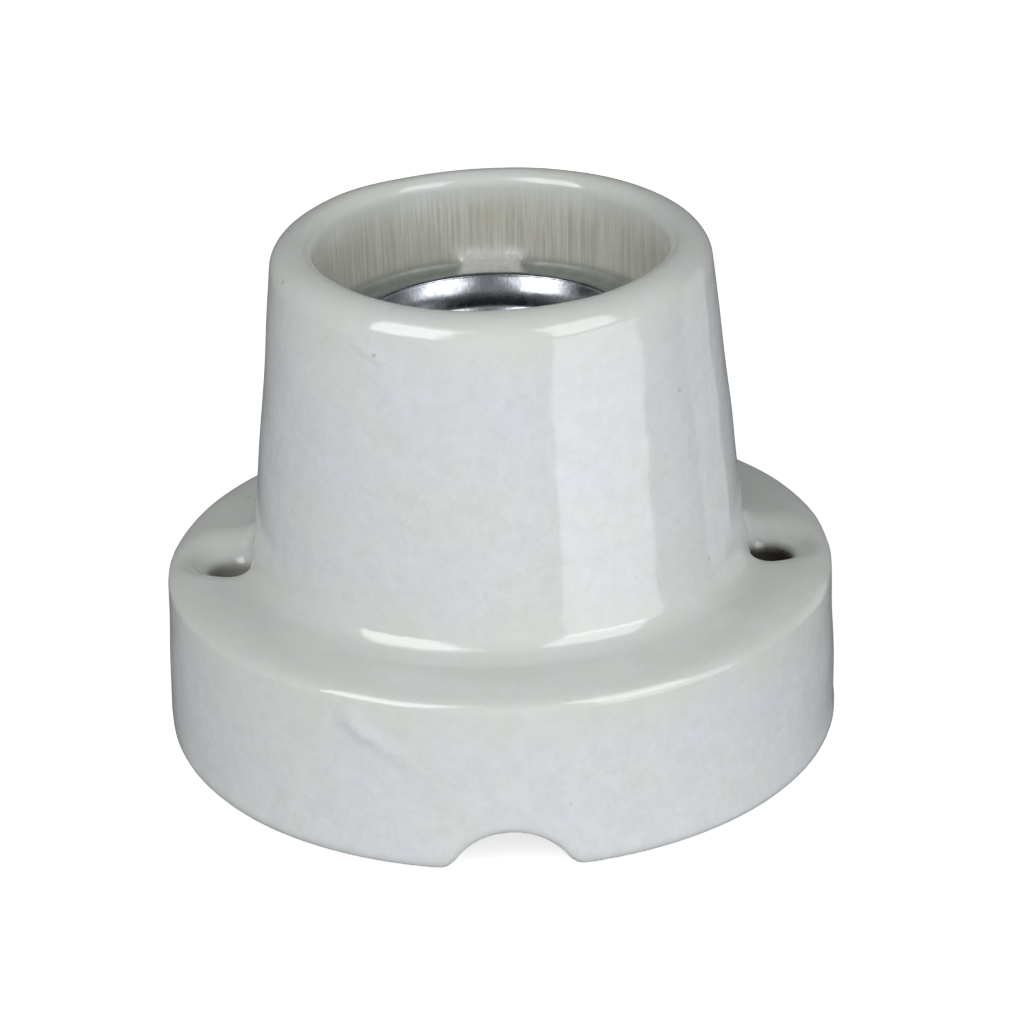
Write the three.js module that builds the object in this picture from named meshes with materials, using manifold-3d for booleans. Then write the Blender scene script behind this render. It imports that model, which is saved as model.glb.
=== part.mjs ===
// Porcelain surface-mount lampholder for a 27 mm Edison screw cap, as an assembly of its real pieces.
// Millimetres, +Z up. The origin is the centre of the base's underside, the cable notch faces -Y and the
// two fixing holes lie on X. The lamp screws in from above.
import * as THREE from 'three';
import { mergeVertices } from 'three/addons/utils/BufferGeometryUtils.js';
import Module from 'manifold-3d';

const wasm = await Module();
wasm.setup();

// ---- Driving dimensions ------------------------------------------------------------------------------
const BASE_R = 37.5; // base at its underside
const BASE_TOP_R = 37.06; // base wall at its top, after the draft
const HEIGHT = 58; // underside to the rim of the neck
const FLANGE_Z = 21; // top face of the flange
const NECK_FOOT_R = 27.3; // neck where its foot fillet ends
const NECK_FOOT_Z = 24.2;
const NECK_TOP_R = 24.2; // neck just below its rim
const RIM_ROUND = 3.3; // outer rounding of the rim
const RIM_INNER_ROUND = 1.6;
const BORE_TOP_R = 19.4; // collar bore at the rim
const BORE_FOOT_R = 19.2; // collar bore at the ledge
const LEDGE_Z = 47; // ledge round the shell pocket
const POCKET_R = 16.9; // pocket that holds the threaded shell
const WEB_TOP_Z = 23; // porcelain floor under the shell
const WEB_BOTTOM_Z = 17.5;
const CHAMBER_R = 31.5; // terminal chamber in the underside

const FIXING_X = 30; // half the spacing of the two fixing holes
const FIXING_HOLE_R = 2.6;
const RECESS_R = 4.8; // mouth of the recess for the screw head, bounded by the neck
const RECESS_FLOOR_R = 3.6; // its sloping wall ends at a flat seat
const RECESS_FLOOR_Z = 19;
const PILLAR_R = 6.4; // porcelain round each fixing hole, down to the underside

const NOTCH_X = 0.3; // the cable notch is a round cut, centred below the underside
const NOTCH_R = 6.9;
const NOTCH_CENTRE_Z = -2.2;
const LUG_WIDTH = 6.3; // key on the ledge, at the back
const LUG_HEIGHT = 0.9;

const THREAD_PITCH = 3.629; // seven turns to the inch
const THREAD_MEAN_R = 12.8; // inner surface of the shell, between crest and root
const THREAD_DEPTH = 0.55; // crest and root either side of the mean
const THREAD_FOOT_Z = 26;
const THREAD_TOP_Z = 43.6;
const THREAD_ROOT_Z = 42.9; // a root of the thread crosses +X at this height
const STEP_FOOT_Z = 42.2; // the shell steps out above its thread
const STEP_OUT = 1.4;
const FLARE_FOOT_Z = 44.3; // the mouth flares out above this height
const FLARE_CURVE = 0.136;
const SHELL_WALL = 0.4;
const SHELL_BOTTOM_Z = WEB_TOP_Z;
const SHELL_LIP_R = 16.4; // rolled lip at the mouth
const SHELL_LIP_Z = 47.5;
const SHELL_EAR_R = 3.2; // the two ears turned in over the web
const SHELL_SCREW_X = 9.4;

const CONTACT_SCREW_Y = -6.2;
const CONTACT_BOSS_HALF_WIDTH = 4.2;
const CONTACT_BOSS_Z = 24.6;
const CONTACT_BOSS_BACK_Y = -11;
const CONTACT_BOSS_FRONT_Y = -3;
const CONTACT_THICKNESS = 0.5;
const CONTACT_WIDTH = 6;
const CONTACT_PIVOT_Y = -2.6; // where the tongue starts to bend

const M3_R = 1.5;
const M3_CLEARANCE_R = 1.75;
const THREAD_GAP = 0.06; // between a screw and the hole it is screwed into
const M3_HEAD_R = 2.65;
const M3_HEAD_H = 1.9;

const BAR_THICKNESS = 1.5; // brass terminal bars under the web
const BAR_HALF_WIDTH = 3.6;
const CLAMP_X = 13.5; // both terminal clamps, on the notch's side
const CLAMP_Y = -14;
const CLAMP_SCREW_R = 1.75;
const CLAMP_HEAD_R = 3.1;
const CLAMP_HEAD_H = 2.4;
const CLAMP_SHANK = 5.2;
const CLAMP_TAIL_R = 2.3; // blind hole over each clamp for the screw's tail
const CLAMP_TAIL_TOP_Z = 21.2;
const SADDLE_THICKNESS = 1;
const SADDLE_LIP = 0.8; // turned-up sides that keep the saddle square to its bar
const REST_GAP = 0.1; // between the pieces of a clamp that move on each other

const ROUND = 96; // sides of the porcelain's round walls
const SMALL_ROUND = 20; // sides of screws and their holes
const SHELL_SIDES = 40;
const ROWS_PER_TURN = 5;

// ---- Helpers -----------------------------------------------------------------------------------------
function toSolid(geometry) {
  const bare = geometry.clone();
  bare.deleteAttribute('normal');
  bare.deleteAttribute('uv');
  const merged = mergeVertices(bare, 1e-5);
  const index = merged.index.array;
  const triangles = [];
  for (let i = 0; i < index.length; i += 3) {
    const [a, b, c] = [index[i], index[i + 1], index[i + 2]];
    if (a !== b && b !== c && c !== a) triangles.push(a, b, c);
  }
  return new wasm.Manifold(new wasm.Mesh({
    numProp: 3,
    vertProperties: Float32Array.from(merged.attributes.position.array),
    triVerts: Uint32Array.from(triangles),
  }));
}

function toGeometry(solid) {
  const mesh = solid.getMesh();
  const geometry = new THREE.BufferGeometry();
  geometry.setAttribute('position', new THREE.BufferAttribute(mesh.vertProperties, 3));
  geometry.setIndex(new THREE.BufferAttribute(mesh.triVerts, 1));
  geometry.computeVertexNormals();
  return geometry;
}

// Points of an elliptical arc, from one angle to the other, both in degrees.
function arc(x, y, rx, ry, from, to, steps) {
  const points = [];
  for (let i = 0; i <= steps; i++) {
    const a = THREE.MathUtils.degToRad(from + ((to - from) * i) / steps);
    points.push(new THREE.Vector2(x + rx * Math.cos(a), y + ry * Math.sin(a)));
  }
  return points;
}

// A body turned about Z from a profile of (radius, z) points that runs anticlockwise round its section.
function turned(profile, sides) {
  return new THREE.LatheGeometry(profile, sides).rotateX(Math.PI / 2);
}

function rod(x, y, radius, zLow, zHigh, sides = SMALL_ROUND) {
  const geometry = new THREE.CylinderGeometry(radius, radius, zHigh - zLow, sides).rotateX(Math.PI / 2);
  return toSolid(geometry.translate(x, y, (zLow + zHigh) / 2));
}

function block(xLow, xHigh, yLow, yHigh, zLow, zHigh) {
  const geometry = new THREE.BoxGeometry(xHigh - xLow, yHigh - yLow, zHigh - zLow);
  return toSolid(geometry.translate((xLow + xHigh) / 2, (yLow + yHigh) / 2, (zLow + zHigh) / 2));
}

// A flat plate cut to an outline in XY.
function plate(outline, zLow, thickness) {
  const shape = new THREE.Shape(outline);
  const geometry = new THREE.ExtrudeGeometry(shape, { depth: thickness, bevelEnabled: false });
  return toSolid(geometry.translate(0, 0, zLow));
}

// A strip bent to an outline in YZ, standing across X.
function strip(outline, width) {
  const shape = new THREE.Shape(outline);
  const geometry = new THREE.ExtrudeGeometry(shape, { depth: width, bevelEnabled: false });
  const turn = new THREE.Matrix4().makeBasis(
    new THREE.Vector3(0, 1, 0),
    new THREE.Vector3(0, 0, 1),
    new THREE.Vector3(1, 0, 0),
  );
  return toSolid(geometry.applyMatrix4(turn).translate(-width / 2, 0, 0));
}

// ---- Materials ---------------------------------------------------------------------------------------
const porcelain = new THREE.MeshStandardMaterial({ color: 0xdcdcd6, roughness: 0.16, metalness: 0 });
const platedSteel = new THREE.MeshStandardMaterial({ color: 0xb9bbbe, roughness: 0.22, metalness: 1 });
const brass = new THREE.MeshStandardMaterial({ color: 0xc8a24e, roughness: 0.3, metalness: 1 });
const bronze = new THREE.MeshStandardMaterial({ color: 0xb87e4a, roughness: 0.3, metalness: 1 });
const zincSteel = new THREE.MeshStandardMaterial({ color: 0xa9adb2, roughness: 0.35, metalness: 1 });

const lampholder = new THREE.Group();

function addPiece(name, solid, material) {
  const mesh = new THREE.Mesh(toGeometry(solid), material);
  mesh.name = name;
  lampholder.add(mesh);
  return mesh;
}

// ---- Porcelain body ----------------------------------------------------------------------------------
const neckTaper = (NECK_FOOT_R - NECK_TOP_R) / (HEIGHT - RIM_ROUND - NECK_FOOT_Z);
const neckRadius = (z) => NECK_FOOT_R - neckTaper * (z - NECK_FOOT_Z);

// The whole turned body: foot, base wall, flange, neck, rim, collar bore, ledge and shell pocket.
function bodyProfile() {
  const footRound = 1.9;
  const edgeReach = 4.5; // the flange's top edge is a flat ellipse
  const edgeDrop = 1.9;
  const neckFillet = NECK_FOOT_Z - FLANGE_Z;
  const innerRound = RIM_INNER_ROUND;
  return [
    new THREE.Vector2(0, 0),
    ...arc(BASE_R - footRound, footRound, footRound, footRound, -90, 0, 3),
    ...arc(BASE_TOP_R - edgeReach, FLANGE_Z - edgeDrop, edgeReach, edgeDrop, 0, 90, 5),
    ...arc(NECK_FOOT_R + neckFillet, FLANGE_Z + neckFillet, neckFillet, neckFillet, 270, 186, 5),
    ...arc(NECK_TOP_R - RIM_ROUND, HEIGHT - RIM_ROUND, RIM_ROUND, RIM_ROUND, 5, 90, 5),
    ...arc(BORE_TOP_R + innerRound, HEIGHT - innerRound, innerRound, innerRound, 95, 180, 3),
    new THREE.Vector2(BORE_FOOT_R, LEDGE_Z),
    new THREE.Vector2(POCKET_R, LEDGE_Z),
    new THREE.Vector2(POCKET_R, WEB_TOP_Z),
    new THREE.Vector2(0, WEB_TOP_Z),
  ];
}

// The hollow under the web, open at the underside.
function chamberProfile() {
  const roofRound = 2;
  const mouthR = CHAMBER_R + 0.8;
  return [
    new THREE.Vector2(0, -1),
    new THREE.Vector2(mouthR, -1),
    new THREE.Vector2(mouthR, 0),
    ...arc(CHAMBER_R - roofRound, WEB_BOTTOM_Z - roofRound, roofRound, roofRound, 0, 90, 2),
    new THREE.Vector2(0, WEB_BOTTOM_Z),
  ];
}

// The cone of the neck run down through the flange: it bounds the screw-head recesses.
function neckCone() {
  const [low, high] = [RECESS_FLOOR_Z - 3, RECESS_FLOOR_Z + 20];
  const profile = [
    new THREE.Vector2(0, low),
    new THREE.Vector2(neckRadius(low), low),
    new THREE.Vector2(neckRadius(high), high),
    new THREE.Vector2(0, high),
  ];
  return toSolid(turned(profile, ROUND));
}

// A round cut across the lower edge of the wall, with its two corners eased.
function cableNotch() {
  const corner = 0.9;
  const rise = corner - NOTCH_CENTRE_Z;
  const reach = Math.sqrt((NOTCH_R + corner) ** 2 - rise ** 2);
  const meeting = THREE.MathUtils.radToDeg(Math.atan2(rise, reach));
  const outline = [
    new THREE.Vector2(NOTCH_X - reach, -1),
    new THREE.Vector2(NOTCH_X - reach, 0),
    ...arc(NOTCH_X - reach, corner, corner, corner, 270, 360 - meeting, 3).slice(1),
    ...arc(NOTCH_X, NOTCH_CENTRE_Z, NOTCH_R, NOTCH_R, 180 - meeting, meeting, 14).slice(1, -1),
    ...arc(NOTCH_X + reach, corner, corner, corner, 180 + meeting, 270, 3),
    new THREE.Vector2(NOTCH_X + reach, -1),
  ].reverse();
  const depth = BASE_R - CHAMBER_R + 4;
  const shape = new THREE.Shape(outline);
  const geometry = new THREE.ExtrudeGeometry(shape, { depth, bevelEnabled: false });
  return toSolid(geometry.rotateX(Math.PI / 2).translate(0, -CHAMBER_R + 2.5, 0));
}

// The space over a fixing hole: a flat seat, a sloping wall, then straight up past the flange.
function screwRecess(x) {
  const top = FLANGE_Z + 8;
  const profile = [
    new THREE.Vector2(0, RECESS_FLOOR_Z),
    new THREE.Vector2(RECESS_FLOOR_R, RECESS_FLOOR_Z),
    new THREE.Vector2(RECESS_R, FLANGE_Z),
    new THREE.Vector2(RECESS_R, top),
    new THREE.Vector2(0, top),
  ];
  return toSolid(turned(profile, 32).translate(x, 0, 0));
}

function porcelainBody() {
  let body = toSolid(turned(bodyProfile(), ROUND));
  let chamber = toSolid(turned(chamberProfile(), ROUND));
  for (const side of [-1, 1]) {
    chamber = chamber.subtract(rod(side * FIXING_X, 0, PILLAR_R, -2, WEB_BOTTOM_Z + 1));
  }
  body = body.subtract(chamber);
  const bossWidth = CONTACT_BOSS_HALF_WIDTH;
  body = body.add(block(-bossWidth, bossWidth, CONTACT_BOSS_BACK_Y, CONTACT_BOSS_FRONT_Y,
    WEB_TOP_Z - 1, CONTACT_BOSS_Z));
  body = body.add(block(-LUG_WIDTH / 2, LUG_WIDTH / 2, POCKET_R + 0.3, BORE_FOOT_R + 1,
    LEDGE_Z - 1, LEDGE_Z + LUG_HEIGHT));
  const cone = neckCone();
  for (const side of [-1, 1]) {
    const x = side * FIXING_X;
    body = body.subtract(screwRecess(x).subtract(cone));
    body = body.subtract(rod(x, 0, FIXING_HOLE_R, -1, FLANGE_Z));
    body = body.subtract(rod(side * SHELL_SCREW_X, 0, M3_CLEARANCE_R, WEB_BOTTOM_Z - 1, WEB_TOP_Z + 1));
    body = body.subtract(rod(side * CLAMP_X, CLAMP_Y, CLAMP_TAIL_R, WEB_BOTTOM_Z - 1, CLAMP_TAIL_TOP_Z));
  }
  body = body.subtract(rod(0, CONTACT_SCREW_Y, M3_CLEARANCE_R, WEB_BOTTOM_Z - 1, CONTACT_BOSS_Z + 1));
  return body.subtract(cableNotch());
}

// ---- Threaded shell ----------------------------------------------------------------------------------
// How far the thread has grown at a height: none at its two ends, full over its middle.
function threadGrowth(z) {
  const runOut = THREAD_PITCH * 0.45;
  const t = Math.min(z - THREAD_FOOT_Z, THREAD_TOP_Z - z) / runOut;
  return THREE.MathUtils.smoothstep(t, 0, 1);
}

// How far the mouth has stepped and flared out at a height.
function flareAt(z) {
  const step = STEP_OUT * THREE.MathUtils.smoothstep(z, STEP_FOOT_Z, FLARE_FOOT_Z);
  return step + FLARE_CURVE * Math.max(0, z - FLARE_FOOT_Z) ** 2;
}

// The section of the shell's wall at one angle: up the inside, over the rolled lip, down the outside.
function shellSection(angle) {
  const mouthZ = SHELL_LIP_Z - 0.23;
  const rows = Math.round(((mouthZ - THREAD_FOOT_Z) / THREAD_PITCH) * ROWS_PER_TURN);
  const inside = [new THREE.Vector2(THREAD_MEAN_R, SHELL_BOTTOM_Z)];
  for (let i = 0; i <= rows; i++) {
    const z = THREAD_FOOT_Z + ((mouthZ - THREAD_FOOT_Z) * i) / rows;
    const wave = Math.cos((2 * Math.PI * (z - THREAD_ROOT_Z)) / THREAD_PITCH - angle);
    const radius = THREAD_MEAN_R + THREAD_DEPTH * threadGrowth(z) * wave + flareAt(z);
    inside.push(new THREE.Vector2(radius, z));
  }
  const outside = inside
    .filter((p) => p.y < FLARE_FOOT_Z)
    .map((p) => new THREE.Vector2(p.x + SHELL_WALL, p.y))
    .reverse();
  const lipRound = 0.55;
  const under = [mouthZ - 0.2, mouthZ - 1, FLARE_FOOT_Z + 0.6];
  const lip = [
    ...arc(SHELL_LIP_R - lipRound, SHELL_LIP_Z - lipRound, lipRound, lipRound, 141, -60, 5),
    ...under.map((z) => new THREE.Vector2(THREAD_MEAN_R + SHELL_WALL / 2 + flareAt(z), z - SHELL_WALL)),
  ];
  return [...inside, ...lip, ...outside];
}

function shellWall() {
  const sections = [];
  for (let i = 0; i < SHELL_SIDES; i++) sections.push(shellSection((2 * Math.PI * i) / SHELL_SIDES));
  const rows = sections[0].length;
  const positions = [];
  sections.forEach((section, i) => {
    const a = (2 * Math.PI * i) / SHELL_SIDES;
    for (const p of section) positions.push(p.x * Math.cos(a), p.x * Math.sin(a), p.y);
  });
  const index = [];
  for (let i = 0; i < SHELL_SIDES; i++) {
    const next = (i + 1) % SHELL_SIDES;
    for (let j = 0; j < rows; j++) {
      const up = (j + 1) % rows;
      const [a, b, c, d] = [i * rows + j, next * rows + j, next * rows + up, i * rows + up];
      index.push(a, c, b, a, d, c);
    }
  }
  const geometry = new THREE.BufferGeometry();
  geometry.setAttribute('position', new THREE.Float32BufferAttribute(positions, 3));
  geometry.setIndex(index);
  return toSolid(geometry);
}

function threadedShell() {
  let shell = shellWall();
  const reach = THREAD_MEAN_R + SHELL_WALL / 2;
  const spread = THREE.MathUtils.radToDeg(Math.asin(SHELL_EAR_R / reach));
  for (const side of [-1, 1]) {
    const ear = [
      ...arc(0, 0, reach, reach, -spread, spread, 4),
      ...arc(SHELL_SCREW_X, 0, SHELL_EAR_R, SHELL_EAR_R, 90, 270, 10),
    ].map((p) => new THREE.Vector2(p.x * side, p.y));
    if (side < 0) ear.reverse();
    shell = shell.add(plate(ear, SHELL_BOTTOM_Z, SHELL_WALL));
    shell = shell.subtract(
      rod(side * SHELL_SCREW_X, 0, M3_CLEARANCE_R, SHELL_BOTTOM_Z - 1, SHELL_BOTTOM_Z + 1));
  }
  return shell;
}

// ---- Screws, nut and washers -------------------------------------------------------------------------
// A cheese-head screw. seatZ is the face under its head, and up is 1 for a head on top, -1 for one below.
function slottedScrew({ x, y, seatZ, up, headR, headH, shankR, shankLength, slotAngle = 0 }) {
  const chamfer = 0.3;
  const profile = [
    new THREE.Vector2(0, -shankLength),
    new THREE.Vector2(shankR - chamfer, -shankLength),
    new THREE.Vector2(shankR, -shankLength + chamfer),
    new THREE.Vector2(shankR, 0),
    new THREE.Vector2(headR, 0),
    new THREE.Vector2(headR, headH - 2 * chamfer),
    new THREE.Vector2(headR - chamfer, headH - chamfer / 2),
    new THREE.Vector2(headR * 0.6, headH),
    new THREE.Vector2(0, headH),
  ];
  const body = toSolid(turned(profile, SMALL_ROUND));
  const slot = toSolid(new THREE.BoxGeometry(2 * headR + 1, 0.8, 2.2)
    .rotateZ(slotAngle)
    .translate(0, 0, headH));
  const screw = toGeometry(body.subtract(slot));
  if (up < 0) screw.rotateX(Math.PI);
  return toSolid(screw.translate(x, y, seatZ));
}

function hexNut(x, y, zLow, acrossFlats, height, holeR) {
  const corner = acrossFlats / Math.sqrt(3);
  const outline = arc(x, y, corner, corner, 0, 300, 5);
  return plate(outline, zLow, height).subtract(rod(x, y, holeR, zLow - 1, zLow + height + 1));
}

// A split ring: the gap is a narrow slot cut on the slant through one side.
function springWasher(x, y, zLow, innerR, outerR, thickness) {
  const ring = rod(x, y, outerR, zLow, zLow + thickness)
    .subtract(rod(x, y, innerR, zLow - 1, zLow + thickness + 1));
  const split = toSolid(new THREE.BoxGeometry(0.4, outerR, 3 * thickness)
    .rotateY(0.35)
    .translate(x, y - outerR + 0.2, zLow + thickness / 2));
  return ring.subtract(split);
}

// ---- Terminals under the web -------------------------------------------------------------------------
// A bar with round ends, from one screw to the other.
function terminalBar(from, to, fromHoleR, toHoleR) {
  const heading = THREE.MathUtils.radToDeg(Math.atan2(to.y - from.y, to.x - from.x));
  const outline = [
    ...arc(from.x, from.y, BAR_HALF_WIDTH, BAR_HALF_WIDTH, heading + 90, heading + 270, 10),
    ...arc(to.x, to.y, BAR_HALF_WIDTH, BAR_HALF_WIDTH, heading - 90, heading + 90, 10),
  ];
  const zLow = WEB_BOTTOM_Z - BAR_THICKNESS;
  return plate(outline, zLow, BAR_THICKNESS)
    .subtract(rod(from.x, from.y, fromHoleR, zLow - 1, WEB_BOTTOM_Z + 1))
    .subtract(rod(to.x, to.y, toHoleR, zLow - 1, WEB_BOTTOM_Z + 1));
}

// A square saddle under the clamp screw's head. Its two sides turn up beside the bar, so it can't turn.
function clampSaddle(from, to) {
  const heading = Math.atan2(to.y - from.y, to.x - from.x);
  const top = WEB_BOTTOM_Z - BAR_THICKNESS - REST_GAP;
  const half = BAR_HALF_WIDTH + 0.25 + SADDLE_LIP;
  const reach = 3.9;
  const body = new THREE.BoxGeometry(2 * reach, 2 * half, SADDLE_THICKNESS);
  let saddle = toSolid(body.translate(0, 0, top - SADDLE_THICKNESS / 2));
  for (const side of [-1, 1]) {
    const lipHeight = 1.3;
    const lip = new THREE.BoxGeometry(2 * reach, SADDLE_LIP, lipHeight + 0.2)
      .translate(0, side * (half - SADDLE_LIP / 2), top + lipHeight / 2 - 0.1);
    saddle = saddle.add(toSolid(lip));
  }
  const placed = toGeometry(saddle).rotateZ(heading).translate(to.x, to.y, 0);
  const hole = rod(to.x, to.y, CLAMP_SCREW_R + 0.35, top - SADDLE_THICKNESS - 1, top + 1);
  return toSolid(placed).subtract(hole);
}

function clampScrew(to, slotAngle) {
  const seatZ = WEB_BOTTOM_Z - BAR_THICKNESS - SADDLE_THICKNESS - 2 * REST_GAP;
  return slottedScrew({
    x: to.x,
    y: to.y,
    seatZ,
    up: -1,
    headR: CLAMP_HEAD_R,
    headH: CLAMP_HEAD_H,
    shankR: CLAMP_SCREW_R,
    shankLength: CLAMP_SHANK,
    slotAngle,
  });
}

// ---- Centre contact ----------------------------------------------------------------------------------
function contactFoot() {
  const half = CONTACT_WIDTH / 2;
  const back = CONTACT_SCREW_Y - 3.3;
  const front = CONTACT_PIVOT_Y - 0.3;
  const corner = 1.2;
  const outline = [
    new THREE.Vector2(half, front),
    new THREE.Vector2(-half, front),
    ...arc(-half + corner, back + corner, corner, corner, 180, 270, 4),
    ...arc(half - corner, back + corner, corner, corner, 270, 360, 4),
  ];
  return plate(outline, CONTACT_BOSS_Z, CONTACT_THICKNESS)
    .subtract(rod(0, CONTACT_SCREW_Y, M3_CLEARANCE_R, CONTACT_BOSS_Z - 1, CONTACT_BOSS_Z + 2));
}

// The tongue rises from its bend, domes over the centre and turns down at its free end.
function contactTongue() {
  const crown = new THREE.CubicBezierCurve(
    new THREE.Vector2(CONTACT_PIVOT_Y, CONTACT_BOSS_Z + CONTACT_THICKNESS / 2),
    new THREE.Vector2(-0.8, 26.4),
    new THREE.Vector2(1.2, 28.4),
    new THREE.Vector2(4, 26),
  );
  const steps = 12;
  const upper = [];
  const lower = [];
  for (let i = 0; i <= steps; i++) {
    const p = crown.getPoint(i / steps);
    const along = crown.getTangent(i / steps);
    const aside = new THREE.Vector2(-along.y, along.x).multiplyScalar(CONTACT_THICKNESS / 2);
    upper.push(p.clone().add(aside));
    lower.push(p.clone().sub(aside));
  }
  return strip([...lower, ...upper.reverse()], CONTACT_WIDTH);
}

// ---- Assembly ----------------------------------------------------------------------------------------
const shellScrewLength = SHELL_BOTTOM_Z + SHELL_WALL - WEB_BOTTOM_Z + 3;
const shellScrew = (x) => slottedScrew({
  x,
  y: 0,
  seatZ: SHELL_BOTTOM_Z + SHELL_WALL,
  up: 1,
  headR: M3_HEAD_R,
  headH: M3_HEAD_H,
  shankR: M3_R,
  shankLength: shellScrewLength,
  slotAngle: 0.7,
});

addPiece('porcelain_body', porcelainBody(), porcelain);
addPiece('threaded_shell', threadedShell(), platedSteel);
addPiece('shell_screw_left', shellScrew(-SHELL_SCREW_X), zincSteel);
addPiece('shell_screw_right', shellScrew(SHELL_SCREW_X), zincSteel);

const lockWasherThickness = 0.7;
const lockWasherZ = WEB_BOTTOM_Z - lockWasherThickness;
const lockWasher = springWasher(-SHELL_SCREW_X, 0, lockWasherZ, M3_R + 0.1, 2.9, lockWasherThickness);
addPiece('shell_screw_spring_washer', lockWasher, zincSteel);
const nutHeight = 2.2;
const nut = hexNut(-SHELL_SCREW_X, 0, lockWasherZ - nutHeight, 5.5, nutHeight, M3_R + THREAD_GAP);
addPiece('shell_screw_nut', nut, zincSteel);

addPiece('contact_foot', contactFoot(), bronze);
addPiece('contact_tongue', contactTongue(), bronze);
const contactSeat = CONTACT_BOSS_Z + CONTACT_THICKNESS;
addPiece('contact_screw', slottedScrew({
  x: 0,
  y: CONTACT_SCREW_Y,
  seatZ: contactSeat,
  up: 1,
  headR: M3_HEAD_R,
  headH: M3_HEAD_H,
  shankR: M3_R,
  shankLength: contactSeat - WEB_BOTTOM_Z + BAR_THICKNESS + 1,
  slotAngle: -0.3,
}), zincSteel);

const tappedM3 = M3_R + THREAD_GAP;
const tappedClamp = CLAMP_SCREW_R + THREAD_GAP;
const terminals = [
  { name: 'line', from: new THREE.Vector2(0, CONTACT_SCREW_Y), to: new THREE.Vector2(-CLAMP_X, CLAMP_Y) },
  { name: 'neutral', from: new THREE.Vector2(SHELL_SCREW_X, 0), to: new THREE.Vector2(CLAMP_X, CLAMP_Y) },
];
for (const { name, from, to } of terminals) {
  addPiece(`${name}_terminal_bar`, terminalBar(from, to, tappedM3, tappedClamp), brass);
  addPiece(`${name}_clamp_saddle`, clampSaddle(from, to), brass);
  addPiece(`${name}_clamp_screw`, clampScrew(to, name === 'line' ? 0.9 : 0.2), zincSteel);
}

export default lampholder;
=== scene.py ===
import math

import bpy
import numpy as np
from mathutils import Matrix, Vector


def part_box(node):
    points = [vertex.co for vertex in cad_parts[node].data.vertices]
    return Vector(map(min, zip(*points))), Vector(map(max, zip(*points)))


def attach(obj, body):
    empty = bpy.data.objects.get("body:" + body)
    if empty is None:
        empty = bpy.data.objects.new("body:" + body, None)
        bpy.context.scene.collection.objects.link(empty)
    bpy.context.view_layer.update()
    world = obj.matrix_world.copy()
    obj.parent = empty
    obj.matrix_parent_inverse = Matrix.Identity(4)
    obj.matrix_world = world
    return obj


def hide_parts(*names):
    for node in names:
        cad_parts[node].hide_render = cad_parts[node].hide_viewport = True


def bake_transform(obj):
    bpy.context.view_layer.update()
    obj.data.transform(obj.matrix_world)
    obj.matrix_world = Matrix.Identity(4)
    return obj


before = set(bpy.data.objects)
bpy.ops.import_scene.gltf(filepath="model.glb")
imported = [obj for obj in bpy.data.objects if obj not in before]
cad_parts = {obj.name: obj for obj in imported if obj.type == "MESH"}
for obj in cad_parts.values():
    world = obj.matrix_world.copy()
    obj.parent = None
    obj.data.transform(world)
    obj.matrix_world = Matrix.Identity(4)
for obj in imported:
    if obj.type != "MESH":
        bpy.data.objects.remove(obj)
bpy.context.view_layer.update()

# Shapes are worked out in millimetres and turned into metres when their mesh is made.
MM = 0.001


def node_box(node):
    """A CAD node's lowest and highest corners in millimetres."""
    low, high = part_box(node)
    return np.array(low) / MM, np.array(high) / MM


# ---- Sizes, from the frame and from how such a holder is made ------------------------------------------
body_low, body_high = node_box("porcelain_body")
shell_low, shell_high = node_box("threaded_shell")
foot_low, foot_high = node_box("contact_foot")
bar_high = node_box("line_terminal_bar")[1]

BASE_R = body_high[0]
HEIGHT = body_high[2]
BASE_TOP_R = BASE_R - 0.44
FLANGE_Z = 21.0
NECK_FOOT_R = 27.3
NECK_FOOT_Z = 24.2
NECK_TOP_R = 24.2
RIM_ROUND = 3.3
RIM_INNER_ROUND = 1.6
BORE_TOP_R = 19.4
BORE_FOOT_R = 19.2
LEDGE_Z = 47.0
POCKET_R = 16.9
WEB_TOP_Z = shell_low[2]
WEB_BOTTOM_Z = bar_high[2]
CHAMBER_R = 31.5
FIXING_X = 30.0
FIXING_HOLE_R = 2.6
RECESS_R = 4.8
RECESS_FLOOR_R = 3.6
RECESS_FLOOR_Z = 19.0
PILLAR_R = 6.4
NOTCH_X = 0.3
NOTCH_R = 6.9
NOTCH_CENTRE_Z = -2.2
LUG_WIDTH = 6.3
LUG_HEIGHT = 0.9

SHELL_SCREW_X = 9.4
CONTACT_SCREW_Y = -6.2
CONTACT_BOSS_Z = foot_low[2]
CONTACT_BOSS_HALF_WIDTH = 4.2
CONTACT_BOSS_BACK_Y = -11.0
CONTACT_BOSS_FRONT_Y = -3.0
CLAMP_X, CLAMP_Y = 13.5, -14.0
CLAMP_TAIL_R = 2.3
CLAMP_TAIL_TOP_Z = 21.2
M3_CLEARANCE_R = 1.75
M3_TAPPED_R = 1.57
M35_TAPPED_R = 1.82


# ---- Fields: signed distances in millimetres, negative inside ------------------------------------------
def smooth_max(a, b, blend):
    h = np.clip(blend - np.abs(a - b), 0, None) / blend
    return np.maximum(a, b) + h * h * blend / 4


def smooth_min(a, b, blend):
    return -smooth_max(-a, -b, blend)


def smooth_step(t):
    t = np.clip(t, 0, 1)
    return t * t * (3 - 2 * t)


def carve(a, b, blend):
    """a with b cut out of it, the new edge rounded."""
    return smooth_max(a, -b, blend)


def upright_rod(x, y, z, centre, radius, low, high, edge=0.2):
    around = np.hypot(x - centre[0], y - centre[1]) - radius
    return smooth_max(around, np.abs(z - (low + high) / 2) - (high - low) / 2, edge)


def slab(x, y, z, low, high, edge=0.2):
    spans = [np.abs(v - (l + h) / 2) - (h - l) / 2 for v, l, h in zip((x, y, z), low, high)]
    return smooth_max(smooth_max(spans[0], spans[1], edge), spans[2], edge)


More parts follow.
